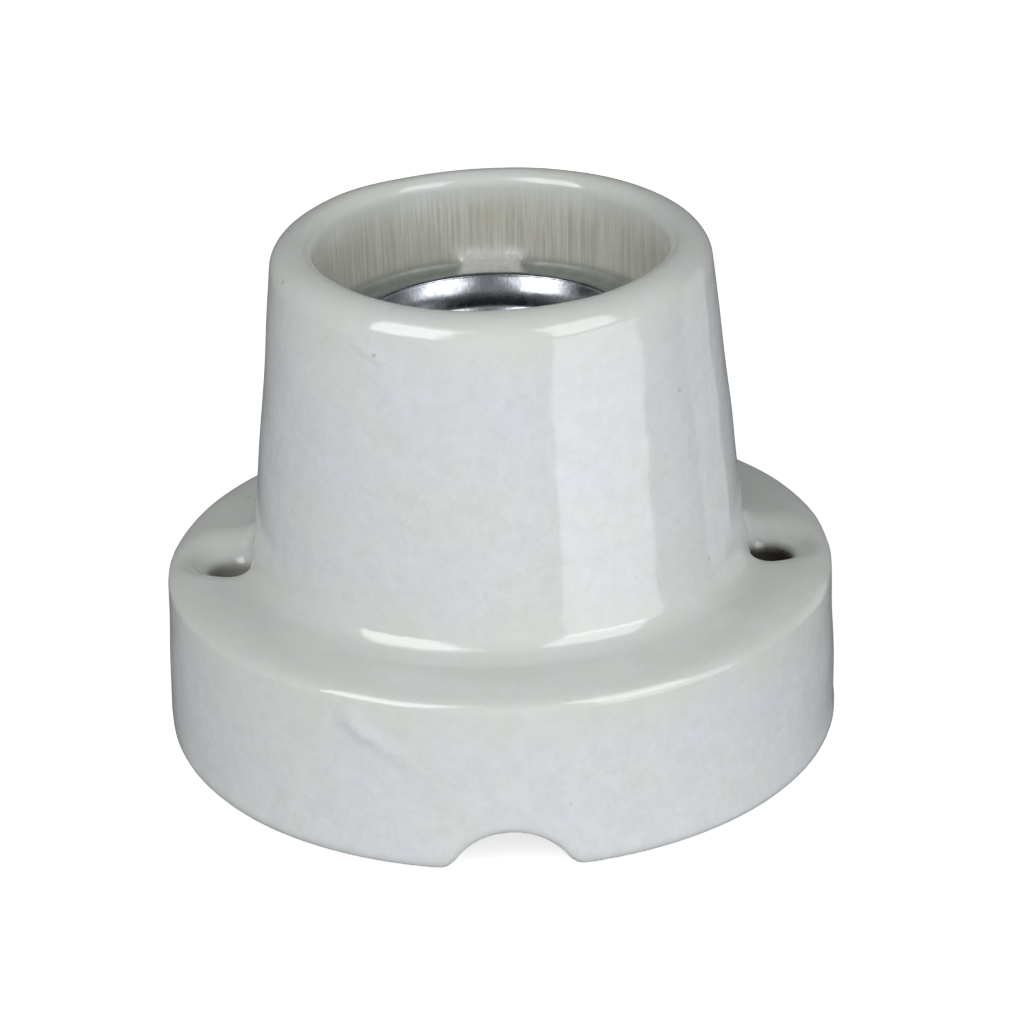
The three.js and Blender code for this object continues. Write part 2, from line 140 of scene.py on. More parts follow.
def arc(x, z, rx, rz, start, end, steps=14):
    """Points of an elliptical arc between two angles in degrees."""
    angles = np.radians(np.linspace(start, end, steps))
    return [(x + rx * math.cos(a), z + rz * math.sin(a)) for a in angles]


def section_field(points, low, high, step=0.1):
    """The signed distance to a closed section in (radius, z), sampled on a grid.

    Edges on the axis don't count, because the turned solid has no wall there.
    """
    p = np.array(points, float)
    q = np.roll(p, -1, 0)
    walls = ~((p[:, 0] < 1e-9) & (q[:, 0] < 1e-9))
    rs = np.arange(low[0], high[0] + step, step)
    zs = np.arange(low[1], high[1] + step, step)
    R, Z = np.meshgrid(rs, zs, indexing="ij")
    nearest = np.full(R.shape, 1e9)
    inside = np.zeros(R.shape, bool)
    for a, b, wall in zip(p, q, walls):
        d = b - a
        if wall:
            t = np.clip(((R - a[0]) * d[0] + (Z - a[1]) * d[1]) / max(d @ d, 1e-12), 0, 1)
            nearest = np.minimum(nearest, (R - a[0] - t * d[0]) ** 2 + (Z - a[1] - t * d[1]) ** 2)
        if a[1] != b[1]:
            crosses = (a[1] > Z) != (b[1] > Z)
            inside ^= crosses & (R < a[0] + (Z - a[1]) * d[0] / d[1])
    table = np.where(inside, -1, 1) * np.sqrt(nearest)

    def field(r, z):
        u = np.clip((r - low[0]) / step, 0, len(rs) - 1.001)
        v = np.clip((z - low[1]) / step, 0, len(zs) - 1.001)
        i, j = u.astype(int), v.astype(int)
        u, v = u - i, v - j
        near = table[i, j] * (1 - v) + table[i, j + 1] * v
        far = table[i + 1, j] * (1 - v) + table[i + 1, j + 1] * v
        return near * (1 - u) + far * u

    return field


def ripple(x, y, z, seed, size, waves=9):
    """Slow, smooth unevenness of about -1 to 1, with features of about that size."""
    rng = np.random.default_rng(seed)
    total = 0
    for _ in range(waves):
        way = rng.normal(size=3)
        way /= np.linalg.norm(way)
        way *= 2 * math.pi / (size * rng.uniform(0.7, 1.6))
        total = total + np.sin(x * way[0] + y * way[1] + z * way[2] + rng.uniform(0, 2 * math.pi))
    return total / math.sqrt(waves)


# ---- Meshes --------------------------------------------------------------------------------------------
CORNERS = np.array([(i, j, k) for i in (0, 1) for j in (0, 1) for k in (0, 1)])
CELL_EDGES = [(a, b) for a in range(8) for b in range(a + 1, 8)
              if np.abs(CORNERS[a] - CORNERS[b]).sum() == 1]


def slopes(field, p, step=0.02):
    """The field's gradient at points p."""
    columns = []
    for axis in range(3):
        q = p.copy()
        q[:, axis] += step
        ahead = field(*q.T)
        q[:, axis] -= 2 * step
        columns.append((ahead - field(*q.T)) / (2 * step))
    return np.stack(columns, 1)


def skin(field, low, high, cell):
    """The surface of a field as quads: one point for each cell that it crosses, moved onto the surface."""
    low = np.array(low, float) - 2 * cell
    counts = np.ceil((np.array(high, float) + 2 * cell - low) / cell).astype(int) + 1
    axes = [low[i] + cell * np.arange(counts[i]) for i in range(3)]
    values = field(*np.meshgrid(*axes, indexing="ij"))
    solid = values < 0
    mixed = np.zeros(counts - 1, int)
    for c in CORNERS:
        mixed += solid[tuple(slice(c[i], counts[i] - 1 + c[i]) for i in range(3))]
    cells = np.argwhere((mixed > 0) & (mixed < 8))
    number = np.full(counts - 1, -1)
    number[tuple(cells.T)] = np.arange(len(cells))
    total = np.zeros((len(cells), 3))
    hits = np.zeros(len(cells))
    for a, b in CELL_EDGES:
        ia, ib = cells + CORNERS[a], cells + CORNERS[b]
        va, vb = values[tuple(ia.T)], values[tuple(ib.T)]
        cross = (va < 0) != (vb < 0)
        t = np.where(cross, va / np.where(cross, va - vb, 1), 0)[:, None]
        total += np.where(cross[:, None], ia + t * (ib - ia), 0)
        hits += cross
    points = low + cell * total / hits[:, None]
    quads = []
    for axis in range(3):
        u, v = (axis + 1) % 3, (axis + 2) % 3
        here = [slice(1, counts[i] - 1) for i in range(3)]
        here[axis] = slice(0, counts[axis] - 1)
        ahead = list(here)
        ahead[axis] = slice(1, counts[axis])
        change = solid[tuple(here)] != solid[tuple(ahead)]
        at = np.argwhere(change) + np.array([s.start for s in here])
        leaving = solid[tuple(at.T)]
        step_u, step_v = np.eye(3, dtype=int)[u], np.eye(3, dtype=int)[v]
        ring = [number[tuple(q.T)] for q in (at - step_u - step_v, at - step_v, at, at - step_u)]
        quad = np.stack(ring, 1)
        quad[~leaving] = quad[~leaving][:, ::-1]
        quads.append(quad)
    for _ in range(4):
        g = slopes(field, points)
        move = field(*points.T)[:, None] * g / np.maximum((g * g).sum(1), 0.25)[:, None]
        size = np.linalg.norm(move, axis=1, keepdims=True)
        points -= move * np.minimum(1, 0.5 * cell / np.maximum(size, 1e-9))
    return points, np.concatenate(quads), slopes(field, points)


def make_mesh(name, points, faces, normals=None):
    mesh = bpy.data.meshes.new(name)
    mesh.from_pydata((np.asarray(points) * MM).tolist(), [], np.asarray(faces).tolist())
    mesh.validate()
    mesh.shade_smooth()
    if normals is not None:
        unit = normals / np.maximum(np.linalg.norm(normals, axis=1, keepdims=True), 1e-9)
        mesh.normals_split_custom_set_from_vertices(unit.tolist())
    piece = bpy.data.objects.new(name, mesh)
    bpy.context.scene.collection.objects.link(piece)
    return piece


def add_values(piece, name, values):
    """Stores one number for each vertex, which the material reads."""
    layer = piece.data.attributes.new(name, "FLOAT", "POINT")
    layer.data.foreach_set("value", np.asarray(values, np.float32))


def place(piece, material, slot, body, *nodes):
    piece.data.materials.append(material)
    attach(piece, body)
    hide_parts(*nodes)
    return piece


# ---- Materials -----------------------------------------------------------------------------------------
class Shader:
    """A material's node tree, built by short calls. Lengths in its textures are in millimetres."""

    def __init__(self, name):
        self.material = bpy.data.materials.new(name)
        self.material.use_nodes = True
        self.tree = self.material.node_tree
        self.principled = self.tree.nodes["Principled BSDF"]
        self.place = self.add("ShaderNodeTexCoord").outputs["Object"]
        self.bumps = None

    def add(self, kind, **settings):
        node = self.tree.nodes.new(kind)
        for key, value in settings.items():
            setattr(node, key, value)
        return node

    def join(self, source, socket):
        self.tree.links.new(source, socket)

    def stretched(self, scale):
        """The place in millimetres, times a scale for each axis."""
        node = self.add("ShaderNodeMapping")
        node.inputs["Scale"].default_value = [s / MM for s in scale]
        self.join(self.place, node.inputs["Vector"])
        return node.outputs["Vector"]

    def noise(self, size, detail=3.0, rough=0.55, warp=0.0, stretch=(1, 1, 1)):
        node = self.add("ShaderNodeTexNoise")
        node.inputs["Scale"].default_value = 1.0
        node.inputs["Detail"].default_value = detail
        node.inputs["Roughness"].default_value = rough
        node.inputs["Distortion"].default_value = warp
        self.join(self.stretched([s / size for s in stretch]), node.inputs["Vector"])
        return node.outputs["Fac"]

    def spots(self, size, radius, chance):
        """Scattered round spots: 1 inside a spot. Only some cells of that size hold one."""
        node = self.add("ShaderNodeTexVoronoi")
        node.inputs["Scale"].default_value = 1.0
        self.join(self.stretched([1 / size] * 3), node.inputs["Vector"])
        near = self.span(node.outputs["Distance"], radius, radius * 0.45)
        pick = self.add("ShaderNodeSeparateColor")
        self.join(node.outputs["Color"], pick.inputs["Color"])
        keep = self.span(pick.outputs["Red"], chance + 0.02, chance)
        return self.math("MULTIPLY", near, keep)

    def span(self, source, low, high, to_low=0.0, to_high=1.0):
        node = self.add("ShaderNodeMapRange")
        self.join(source, node.inputs["Value"])
        for key, value in zip(("From Min", "From Max", "To Min", "To Max"), (low, high, to_low, to_high)):
            node.inputs[key].default_value = value
        return node.outputs["Result"]

    def math(self, kind, a, b):
        node = self.add("ShaderNodeMath", operation=kind)
        for socket, value in zip(node.inputs, (a, b)):
            if isinstance(value, (int, float)):
                socket.default_value = value
            else:
                self.join(value, socket)
        return node.outputs[0]

    def attribute(self, name):
        return self.add("ShaderNodeAttribute", attribute_name=name).outputs["Fac"]

    def mix(self, factor, a, b, kind="MIX"):
        node = self.add("ShaderNodeMix", data_type="RGBA", blend_type=kind)
        sockets = (node.inputs[0], node.inputs[6], node.inputs[7])
        for socket, value in zip(sockets, (factor, a, b)):
            if isinstance(value, (int, float)):
                socket.default_value = value
            elif isinstance(value, (tuple, list)):
                socket.default_value = (*value, 1)
            else:
                self.join(value, socket)
        return node.outputs[2]

    def bump(self, height, depth_mm):
        """Adds a relief of that depth, on top of the reliefs before it."""
        node = self.add("ShaderNodeBump")
        node.inputs["Strength"].default_value = 1.0
        node.inputs["Distance"].default_value = depth_mm * MM
        self.join(height, node.inputs["Height"])
        if self.bumps is not None:
            self.join(self.bumps, node.inputs["Normal"])
        self.bumps = node.outputs["Normal"]
        self.join(self.bumps, self.principled.inputs["Normal"])

    def set(self, **values):
        for key, value in values.items():
            socket = self.principled.inputs[key.replace("_", " ")]
            if isinstance(value, (int, float)):
                socket.default_value = value
            elif isinstance(value, (tuple, list)):
                socket.default_value = (*value, 1)
            else:
                self.join(value, socket)


def porcelain_material():
    s = Shader("glazed porcelain")
    cloud = s.span(s.noise(9, 4, 0.6, 0.5), 0.38, 0.66)
    mottle = s.span(s.noise(1.8, 4, 0.65, 0.6), 0.35, 0.65)
    grain = s.span(s.noise(0.42, 3, 0.7), 0.3, 0.7)
    colour = s.mix(cloud, (0.745, 0.765, 0.81), (0.735, 0.765, 0.725))
    colour = s.mix(s.math("MULTIPLY", mottle, 0.45), colour, (0.60, 0.635, 0.615))
    colour = s.mix(s.math("MULTIPLY", grain, 0.30), colour, (0.82, 0.835, 0.86))
    # The glaze is warmer and greener where it ran thin: the rim, and the shoulders of the base.
    height = s.add("ShaderNodeSeparateXYZ")
    s.join(s.place, height.inputs[0])
    height = height.outputs["Z"]
    rim = s.span(height, (HEIGHT - 9) * MM, HEIGHT * MM)
    shoulder = s.math("MULTIPLY", s.span(height, (FLANGE_Z - 8) * MM, (FLANGE_Z - 1) * MM),
                      s.span(height, (FLANGE_Z + 7) * MM, (FLANGE_Z + 1) * MM))
    patchy = s.span(s.noise(5, 4, 0.6, 0.5), 0.3, 0.6, 0.35, 1.0)
    warm = s.math("MULTIPLY", s.math("MAXIMUM", rim, shoulder), patchy)
    colour = s.mix(s.math("MULTIPLY", warm, 0.7), colour, (0.735, 0.755, 0.675))
    # Glaze runs thin over convex edges and gathers in hollows; the hollows' darker tint is partly painted
    # shade.
    colour = s.mix(s.math("MULTIPLY", s.attribute("edge"), 0.30), colour, (0.76, 0.76, 0.69))
    colour = s.mix(s.math("MULTIPLY", s.attribute("hollow"), 0.30), colour, (0.67, 0.71, 0.70))
    # Unglazed clay: the foot ring and the underside.
    bare = s.attribute("bare")
    clay = s.mix(s.span(s.noise(0.8, 4), 0.3, 0.7), (0.66, 0.62, 0.54), (0.56, 0.52, 0.45))
    colour = s.mix(s.math("MULTIPLY", bare, 0.9), colour, clay)
    # The collar bore: fine upright tool marks under a thin glaze.
    bore = s.attribute("bore")
    lines = s.noise(0.38, 3, 0.7, 0.0, (1, 1, 0.03))
    blotch = s.span(s.noise(3.2, 4, 0.6, 0.3, (1, 1, 0.5)), 0.38, 0.66)
    streaks = s.mix(s.span(lines, 0.38, 0.62), (0.54, 0.53, 0.46), (0.77, 0.765, 0.69))
    streaks = s.mix(s.math("MULTIPLY", blotch, 0.5), streaks, (0.60, 0.575, 0.47))
    colour = s.mix(s.math("MULTIPLY", bore, 0.9), colour, streaks)
    # Painted shade: grey-green on the ledge round the shell, brown inside the fixing holes.
    ledge_shade = s.math("MULTIPLY", s.attribute("ledge_shade"), s.span(s.noise(1.2, 4, 0.6), 0.3, 0.6, 0.85, 1.0))
    colour = s.mix(ledge_shade, colour, (0.25, 0.27, 0.24))
    # Painted shade inside the fixing holes, nearly black.
    hole_shade = s.attribute("hole_shade")
    colour = s.mix(hole_shade, colour, (0.055, 0.045, 0.035))
    # Specks of iron in the clay, and pinholes in the glaze.
    specks = s.spots(3.2, 0.10, 0.13)
    fine = s.spots(1.3, 0.13, 0.16)
    colour = s.mix(s.math("MULTIPLY", fine, 0.22), colour, (0.42, 0.40, 0.34))
    colour = s.mix(s.math("MULTIPLY", specks, 0.32), colour, (0.22, 0.18, 0.14))
    dull = s.span(s.noise(7, 4, 0.6), 0.3, 0.75, 0.06, 0.12)
    rough = s.math("MAXIMUM", dull, s.math("MULTIPLY", bore, 0.34))
    rough = s.math("MAXIMUM", rough, s.math("MULTIPLY", bare, 0.7))
    rough = s.math("MAXIMUM", rough, s.math("MULTIPLY", s.math("MAXIMUM", hole_shade, ledge_shade), 0.5))
    s.set(Base_Color=colour, Roughness=rough, IOR=1.52)
    s.bump(s.noise(3.4, 2, 0.5), 0.05)
    s.bump(s.noise(0.9, 2, 0.5), 0.004)
    s.bump(s.math("MULTIPLY", lines, bore), 0.03)
    s.bump(s.math("MULTIPLY", specks, -1.0), 0.03)
    s.bump(s.math("MULTIPLY", s.noise(0.4, 3), bare), 0.05)
    return s.material


def metal_material(name, bright, dark, rough, grain_mm, relief_mm, stretch=(1, 1, 1), stain=None):
    """Plated or rolled metal: clouded colour, uneven polish and a fine directional grain."""
    s = Shader(name)
    cloud = s.span(s.noise(2.2, 4, 0.6), 0.3, 0.7)
    grain = s.noise(grain_mm, 3, 0.65, 0.0, stretch)
    colour = s.mix(cloud, bright, dark)
    colour = s.mix(s.math("MULTIPLY", s.span(grain, 0.35, 0.65), 0.3), colour, dark)
    if stain is not None:
        patches = s.span(s.noise(1.4, 5, 0.65, 0.6), 0.55, 0.72)
        colour = s.mix(s.math("MULTIPLY", patches, 0.55), colour, stain)
    s.set(Base_Color=colour, Metallic=1.0)
    polish = s.span(s.noise(1.1, 4, 0.6), 0.3, 0.7, rough[0], rough[1])
    s.set(Roughness=polish)
    s.bump(grain, relief_mm)
    return s.material


porcelain = porcelain_material()
nickel = metal_material("nickel plate", (0.42, 0.44, 0.47), (0.20, 0.21, 0.23), (0.18, 0.32), 0.35, 0.012,
                        (1, 1, 0.05))
zinc = metal_material("zinc plate", (0.72, 0.74, 0.77), (0.50, 0.52, 0.54), (0.24, 0.40), 0.25, 0.008,
                      stain=(0.42, 0.41, 0.38))
brass = metal_material("rolled brass", (0.83, 0.64, 0.30), (0.66, 0.47, 0.20), (0.22, 0.38), 0.3, 0.006,
                       (1, 6, 1), stain=(0.36, 0.24, 0.12))
bronze = metal_material("phosphor bronze strip", (0.80, 0.52, 0.32), (0.62, 0.37, 0.22), (0.18, 0.32), 0.3,
                        0.006, (6, 1, 1), stain=(0.34, 0.19, 0.12))


# ---- Porcelain body ------------------------------------------------------------------------------------
NECK_TAPER = (NECK_FOOT_R - NECK_TOP_R) / (HEIGHT - RIM_ROUND - NECK_FOOT_Z)


def body_section():
    foot = 1.9
    reach, drop = 4.5, 1.9
    fillet = NECK_FOOT_Z - FLANGE_Z
    inner = RIM_INNER_ROUND
    corner, edge = 0.9, 0.5
    return [
        (0, 0),
        *arc(BASE_R - foot, foot, foot, foot, -90, 0),
        *arc(BASE_TOP_R - reach, FLANGE_Z - drop, reach, drop, 0, 90, 24),
        *arc(NECK_FOOT_R + fillet, FLANGE_Z + fillet, fillet, fillet, 270, 186, 20),
        *arc(NECK_TOP_R - RIM_ROUND, HEIGHT - RIM_ROUND, RIM_ROUND, RIM_ROUND, 5, 90, 20),
        *arc(BORE_TOP_R + inner, HEIGHT - inner, inner, inner, 95, 180),
        *arc(BORE_FOOT_R - corner, LEDGE_Z + corner, corner, corner, 0, -90),
        *arc(POCKET_R + edge, LEDGE_Z - edge, edge, edge, 90, 180),
        (POCKET_R, WEB_TOP_Z),
        (0, WEB_TOP_Z),
    ]


def chamber_section():
    roof = 2.0
    mouth = CHAMBER_R + 0.8
    return [
        (0, -4),
        (mouth, -4),
        (mouth, 0),
        *arc(CHAMBER_R - roof, WEB_BOTTOM_Z - roof, roof, roof, 0, 90),
        (0, WEB_BOTTOM_Z),
    ]


turned_body = section_field(body_section(), (0, -4), (BASE_R + 4, HEIGHT + 4))
turned_chamber = section_field(chamber_section(), (0, -4), (BASE_R + 4, HEIGHT + 4))


# Low ridges where the glaze ran or wrinkled: azimuth in degrees and height at each end, half width, and how
# far it stands out.
GLAZE_RIDGES = [
    ((-29, 17.6), (-14, 12.2), 1.1, 0.26),
    ((-27, 18.2), (-23, 14.5), 1.1, 0.26),
    ((-38, 54.3), (-28, 52.8), 0.6, 0.22),
]


def glaze_ridge(x, y, z, start, end, half, height):
    """How far one ridge stands out at a point. It fades away at both ends."""
    along = np.degrees(np.arctan2(x, -y))
    r = np.hypot(x, y)
    step = (end[0] - start[0], end[1] - start[1])
    scale = math.radians(1) * (BASE_R if start[1] < FLANGE_Z else NECK_TOP_R)
    length = math.hypot(step[0] * scale, step[1])
    u, w = (along - start[0]) * scale, z - start[1]
    t = np.clip((u * step[0] * scale + w * step[1]) / length**2, 0, 1)
    gap = np.hypot(u - t * step[0] * scale, w - t * step[1])
    fade = np.sqrt(np.clip(4 * t * (1 - t), 0, 1))
    outside = r > (CHAMBER_R + 2 if start[1] < FLANGE_Z else BORE_TOP_R + 2)
    return height * np.exp(-((gap / half) ** 2)) * fade * outside


def porcelain_field(x, y, z):
    r = np.hypot(x, y)
    # A pressed and fired piece is never quite true.
    wave = 0.10 * ripple(x, y, z, 5, 30, 6) + 0.035 * ripple(x, y, z, 8, 9, 12)
    d = turned_body(r, z) + wave * np.clip((r - 14) / 4, 0, 1) * np.clip((z - 0.3) / 3, 0, 1)
    for ridge in GLAZE_RIDGES:
        d = d - glaze_ridge(x, y, z, *ridge)
    chamber = turned_chamber(r, z)
    for side in (-1, 1):
        pillar = np.hypot(x - side * FIXING_X, y) - PILLAR_R
        chamber = carve(chamber, pillar, 1.4)
    d = carve(d, chamber, 0.9)
    boss = slab(x, y, z, (-CONTACT_BOSS_HALF_WIDTH, CONTACT_BOSS_BACK_Y, WEB_TOP_Z - 2),
                (CONTACT_BOSS_HALF_WIDTH, CONTACT_BOSS_FRONT_Y, CONTACT_BOSS_Z), 0.5)
    d = smooth_min(d, boss, 0.5)
    lug = slab(x, y, z, (-LUG_WIDTH / 2, POCKET_R + 0.3, LEDGE_Z - 1),
               (LUG_WIDTH / 2, BORE_FOOT_R + 1, LEDGE_Z + LUG_HEIGHT), 0.7)
    d = smooth_min(d, lug, 2.0)
    neck = (r - (NECK_FOOT_R - NECK_TAPER * (z - NECK_FOOT_Z))) * math.cos(math.atan(NECK_TAPER))
    for side in (-1, 1):
        around = np.hypot(x - side * FIXING_X, y)
        widening = (RECESS_R - RECESS_FLOOR_R) / (FLANGE_Z - RECESS_FLOOR_Z)
        reach = RECESS_FLOOR_R + widening * np.clip(z - RECESS_FLOOR_Z, -1, FLANGE_Z - RECESS_FLOOR_Z)
        recess = (around - reach) * math.cos(math.atan(widening))
        recess = smooth_max(recess, RECESS_FLOOR_Z - z, 1.2)
        clear = 0.5 + 0.5 * np.clip(z - FLANGE_Z - 1, 0, None)
        recess = smooth_max(recess, clear - neck, 1.0)
        recess = np.maximum(recess, z - FLANGE_Z - 8)
        d = carve(d, recess, 2.2)
        hole = upright_rod(x, y, z, (side * FIXING_X, 0), FIXING_HOLE_R, -5, FLANGE_Z)
        d = carve(d, hole, 1.3)
        through = upright_rod(x, y, z, (side * SHELL_SCREW_X, 0), M3_CLEARANCE_R,
                              WEB_BOTTOM_Z - 3, WEB_TOP_Z + 3)
        d = carve(d, through, 0.5)
        tail = upright_rod(x, y, z, (side * CLAMP_X, CLAMP_Y), CLAMP_TAIL_R,
                           WEB_BOTTOM_Z - 3, CLAMP_TAIL_TOP_Z)
        d = carve(d, tail, 0.5)
    through = upright_rod(x, y, z, (0, CONTACT_SCREW_Y), M3_CLEARANCE_R, WEB_BOTTOM_Z - 3, CONTACT_BOSS_Z + 3)
    d = carve(d, through, 0.5)
    notch = np.maximum(np.hypot(x - NOTCH_X, z - NOTCH_CENTRE_Z) - NOTCH_R, y + CHAMBER_R - 3)
    return carve(d, notch, 1.5)


def make_porcelain():
    cell = 0.6
    points, quads, normals = skin(porcelain_field, body_low, body_high, cell)
    x, y, z = points.T
    r = np.hypot(x, y)
    unit = normals / np.linalg.norm(normals, axis=1, keepdims=True)
    step = 0.7
    around = -6 * porcelain_field(x, y, z)
    for axis in np.eye(3) * step:
        around += porcelain_field(*(points + axis).T) + porcelain_field(*(points - axis).T)
    curve = around / step**2
    piece = make_mesh("porcelain_body_glazed", points, quads, normals)
    add_values(piece, "edge", np.clip(curve * 0.9 - 0.15, 0, 1))
    # Concave places, tinted darker in the material: pooled glaze and painted shade.
    add_values(piece, "hollow", np.clip(-curve * 1.1 - 0.1, 0, 1))
    under = np.clip((CHAMBER_R + 1 - r) / 0.6, 0, 1) * np.clip((WEB_BOTTOM_Z + 0.6 - z) / 0.6, 0, 1)
    foot = np.clip((0.45 - z) / 0.25, 0, 1) * np.clip(-unit[:, 2], 0, 1)
    add_values(piece, "bare", np.clip(np.maximum(under, foot), 0, 1))
    wall = np.clip((HEIGHT - 1.2 - z) / 3.5, 0, 1) * np.clip((z - 23.5) / 1, 0, 1)
    wall *= 1 - 0.5 * np.clip(unit[:, 2], 0, 1)
    add_values(piece, "bore", wall * np.clip((BORE_TOP_R + 0.5 - r) / 0.4, 0, 1))
    # Painted shade on the ledge round the shell, at the foot of the bore; the lug is mostly left out.
    ledge = np.clip((LEDGE_Z + 1.4 - z) / 0.9, 0, 1) * np.clip((z - LEDGE_Z + 3) / 1, 0, 1)
    ledge *= 1 - 0.75 * (y > 0) * np.clip(LUG_WIDTH / 2 + 0.8 - np.abs(x), 0, 1)
    add_values(piece, "ledge_shade", ledge * np.clip((r - POCKET_R + 0.8) / 0.5, 0, 1) * (r < BORE_TOP_R + 0.5))
    # Painted shade in the fixing holes below the recess floor: full in the right hole, 0.55 in the left.
    hole = np.hypot(np.abs(x) - FIXING_X, y)
    hole_shade_mask = np.where(x > 0, 1.0, 0.55) * np.clip((RECESS_FLOOR_Z + 0.1 - z) / 0.9, 0, 1)
    add_values(piece, "hole_shade", hole_shade_mask * (hole < RECESS_R) * (z > 1.5))
    return place(piece, porcelain, "porcelain", "root", "porcelain_body")


# ---- Threaded shell ------------------------------------------------------------------------------------
THREAD_PITCH = 3.629
THREAD_MEAN_R = 12.8
THREAD_DEPTH = 0.55
THREAD_FOOT_Z = 26.0
THREAD_TOP_Z = 43.6
THREAD_ROOT_Z = 42.9
STEP_FOOT_Z = 42.2
STEP_OUT = 1.4
FLARE_FOOT_Z = 44.3
FLARE_CURVE = 0.136
SHELL_WALL = 0.4
SHELL_TURNS = 144
LIP_R = shell_high[0]
LIP_Z = shell_high[2]


def loop_sections(section, turns, name):
    """A closed surface from a closed section, given at each angle round Z as (radius, z) points."""
    rows = len(section(0.0))
    angles = np.linspace(0, 2 * math.pi, turns, endpoint=False)
    points = np.concatenate([
        np.stack([s[:, 0] * math.cos(a), s[:, 0] * math.sin(a), s[:, 1]], 1)
        for a, s in ((a, section(a)) for a in angles)
    ])
    i = np.arange(turns)[:, None]
    j = np.arange(rows)[None, :]
    a = i * rows + j
    b = (i + 1) % turns * rows + j
    c = (i + 1) % turns * rows + (j + 1) % rows
    d = i * rows + (j + 1) % rows
    quads = np.stack([a, d, c, b], -1).reshape(-1, 4)
    return make_mesh(name, points, quads)


def shell_section(angle):
    """The shell's wall at one angle: up the inside, over the rolled lip, down the outside."""
    def wall(z, offset):
        run_out = THREAD_PITCH * 0.45
        growth = smooth_step(np.minimum(z - THREAD_FOOT_Z, THREAD_TOP_Z - z) / run_out)
        wave = np.cos(2 * math.pi * (z - THREAD_ROOT_Z) / THREAD_PITCH - angle)
        step = smooth_step((z - STEP_FOOT_Z) / (FLARE_FOOT_Z - STEP_FOOT_Z))
        flare = STEP_OUT * step + FLARE_CURVE * np.clip(z - FLARE_FOOT_Z, 0, None) ** 2
        return np.stack([THREAD_MEAN_R + offset + THREAD_DEPTH * growth * wave + flare, z], 1)

    mouth = LIP_Z - 0.23
    up = np.linspace(WEB_TOP_Z + 0.05, mouth, 116)
    lip_round = 0.55
    roll = arc(LIP_R - lip_round, LIP_Z - lip_round, lip_round, lip_round, 141, -60, 20)
    under = wall(np.array([mouth - 0.1, mouth - 0.4, mouth - 0.8, FLARE_FOOT_Z + 0.4]), SHELL_WALL / 2)
    under[:, 1] -= SHELL_WALL
    down = up[up < FLARE_FOOT_Z]
    return np.concatenate([wall(up, 0), roll, under, wall(down[::-2], SHELL_WALL)])


EAR_R = 3.2


def ear_field(side):
    def field(x, y, z):
        reach = THREAD_MEAN_R + SHELL_WALL / 2
        disc = np.hypot(x - side * SHELL_SCREW_X, y) - EAR_R
        strip = np.maximum(np.abs(y) - EAR_R, side * (SHELL_SCREW_X * side - x))
        d = np.minimum(disc, strip)
        d = np.maximum(d, np.hypot(x, y) - reach)
        d = smooth_max(d, M3_CLEARANCE_R - np.hypot(x - side * SHELL_SCREW_X, y), 0.1)
        mid = WEB_TOP_Z + SHELL_WALL / 2
        return smooth_max(d, np.abs(z - mid) - SHELL_WALL / 2 + 0.01, 0.2)

    return field


def make_shell():
    shell = loop_sections(shell_section, SHELL_TURNS, "threaded_shell_rolled")
    parts = [shell]
    for side in (-1, 1):
        low = (min(side * 5.5, side * 13.4), -3.6, WEB_TOP_Z)
        high = (max(side * 5.5, side * 13.4), 3.6, WEB_TOP_Z + SHELL_WALL)
        parts.append(make_mesh("ear", *skin(ear_field(side), low, high, 0.16)))
    with bpy.context.temp_override(active_object=shell, object=shell, selected_objects=parts,
                                   selected_editable_objects=parts):
        bpy.ops.object.join()
    return place(shell, nickel, "plated_steel", "root", "threaded_shell")


# ---- Screws, nut, washers and terminals ------------------------------------------------------------------
SLOT_HALF_WIDTH = 0.4
SLOT_DEPTH = 1.05


def screw_field(node, up, head_r, head_h, shank_r, pitch, slot_angle):
    """A cheese-head screw with a rolled thread, where its CAD node is. up is 1 for a head on top."""
    low, high = node_box(node)
    cx, cy = (low[0] + high[0]) / 2, (low[1] + high[1]) / 2
    seat = high[2] - head_h if up > 0 else low[2] + head_h
    tip = low[2] if up > 0 else high[2]
    length = abs(seat - tip)

    def field(x, y, z):
        u, v, w = x - cx, y - cy, (z - seat) * up
        r = np.hypot(u, v)
        turn = np.arctan2(v, u) * up
        phase = (w / pitch - turn / (2 * math.pi)) % 1
        depth = 0.55 * pitch
        thread = shank_r - depth * np.abs(phase - 0.5) * 1.1
        thread = np.minimum(thread, shank_r - 0.06)
        point = shank_r - 0.45 + (w + length)
        shank = smooth_max(r - np.minimum(thread, point), -w - length, 0.12)
        shank = np.maximum(shank, w - 0.5)
        dome = w - head_h + 0.03 * r * r
        head = smooth_max(smooth_max(r - head_r, dome, 0.5), -w, 0.25)
        across = -u * math.sin(slot_angle) + v * math.cos(slot_angle)
        slot = smooth_max(np.abs(across) - SLOT_HALF_WIDTH, head_h - SLOT_DEPTH - w, 0.15)
        head = smooth_max(head, -slot, 0.18)
        return np.minimum(shank, head)

    return field, low, high


def make_screw(name, node, body, up, head_r, head_h, shank_r, pitch, slot_angle):
    field, low, high = screw_field(node, up, head_r, head_h, shank_r, pitch, slot_angle)
    piece = make_mesh(name, *skin(field, low, high, 0.15))
    return place(piece, zinc, "zinc_steel", body, node)


NUT_BORE_R = 1.56
WASHER_BORE_R = 1.62


